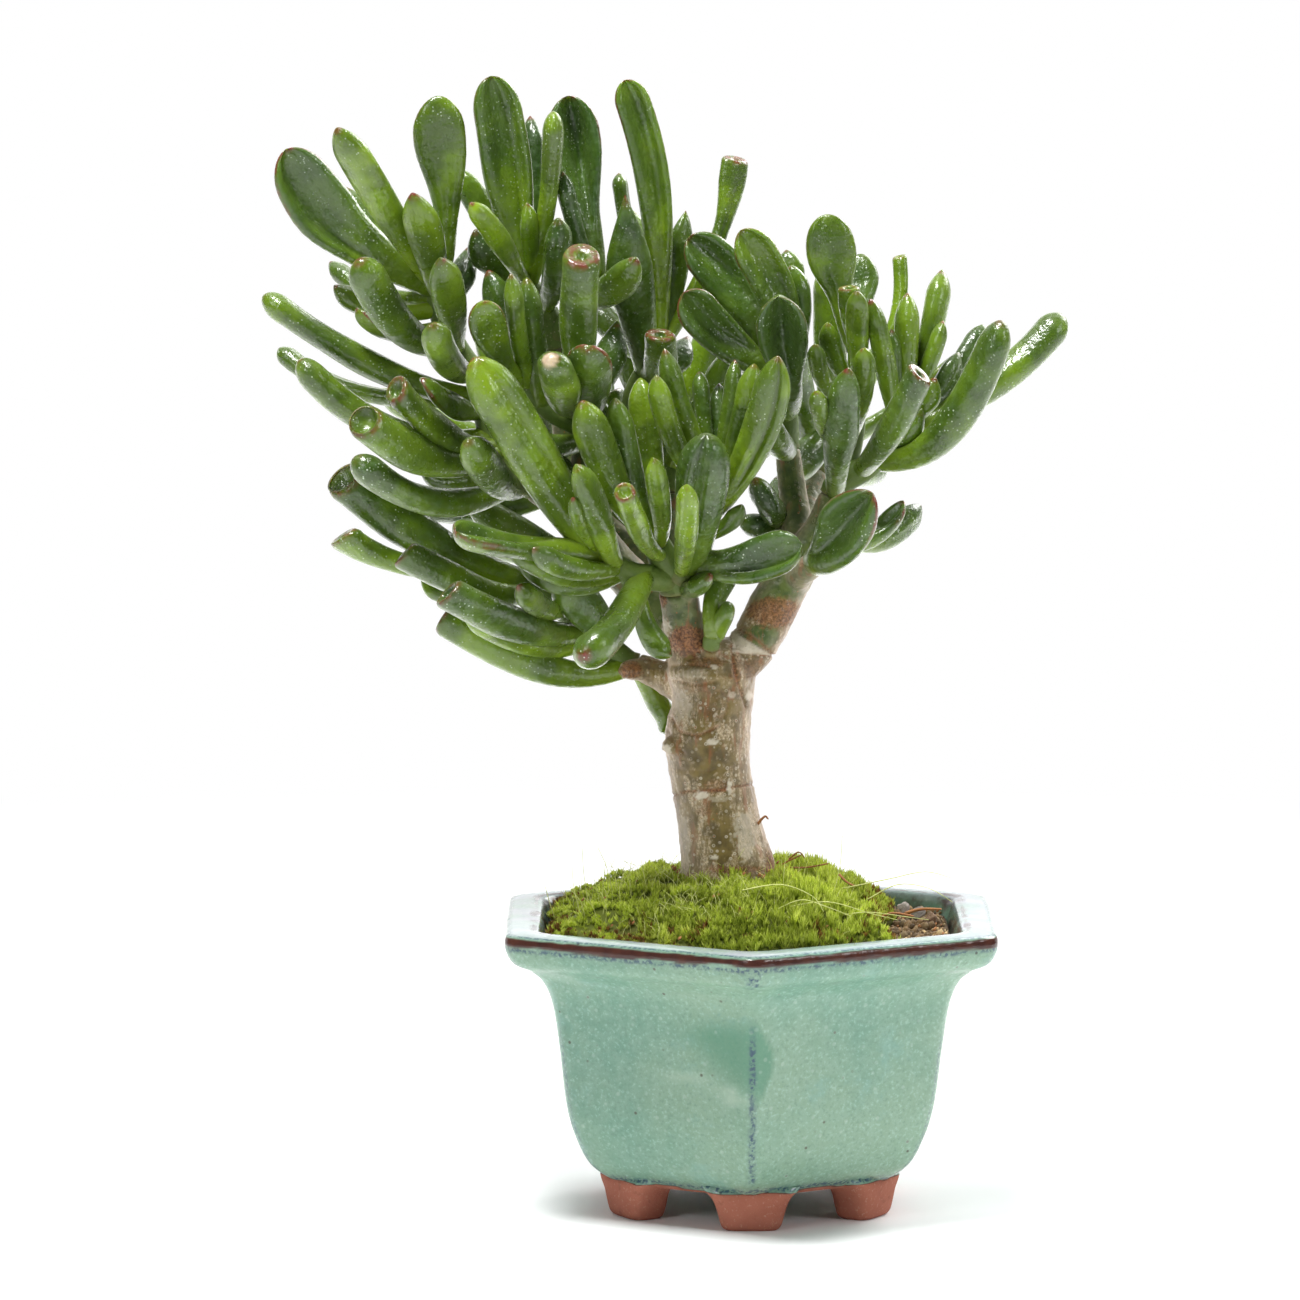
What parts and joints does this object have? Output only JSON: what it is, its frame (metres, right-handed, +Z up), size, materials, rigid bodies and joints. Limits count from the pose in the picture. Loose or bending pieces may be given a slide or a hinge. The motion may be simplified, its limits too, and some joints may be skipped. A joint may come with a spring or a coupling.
{
  "type": "potted jade bonsai",
  "caption": "Finger-leaved jade plant grown as a bonsai with a forked woody trunk, in a six-sided green glazed pot with moss over its soil.",
  "frame": {"origin": "under the middle of the whole plant's bounding box, on the ground that the pot's feet stand on", "axes": "+Z up, -Y towards the side that the crown is drawn for, one corner of the pot facing -Y"},
  "size_m": [0.2134, 0.1526, 0.2899],
  "materials": {
    "glaze": "gloss",
    "mesh": "matte",
    "soil": "matte",
    "moss": "matte",
    "pebble_white": "satin",
    "pebble_grey": "matte",
    "pebble_brown": "matte",
    "bark": "matte",
    "leaf": "satin"
  },
  "bodies": {
    "root": {"pot": "glaze", "drain_mesh": "mesh", "soil": "soil", "moss": "moss", "pebble_white": "pebble_white", "pebble_grey": "pebble_grey", "pebble_brown": "pebble_brown", "trunk": "bark", "leafy_stem_front": "leaf", "leafy_stem_low_left": "leaf", "leafy_stem_left": "leaf", "leafy_stem_upper_left": "leaf", "leafy_stem_centre": "leaf", "leafy_stem_top": "leaf", "leafy_stem_top_right": "leaf", "leafy_stem_right_inner": "leaf", "leafy_stem_right": "leaf", "leafy_stem_right_low": "leaf", "leafy_stem_right_back": "leaf", "leafy_stem_fork": "leaf", "leafy_stem_back": "leaf", "leafy_stem_back_left": "leaf", "leafy_stem_back_right": "leaf", "leafy_stem_back_low": "leaf"}
  },
  "joints": []
}
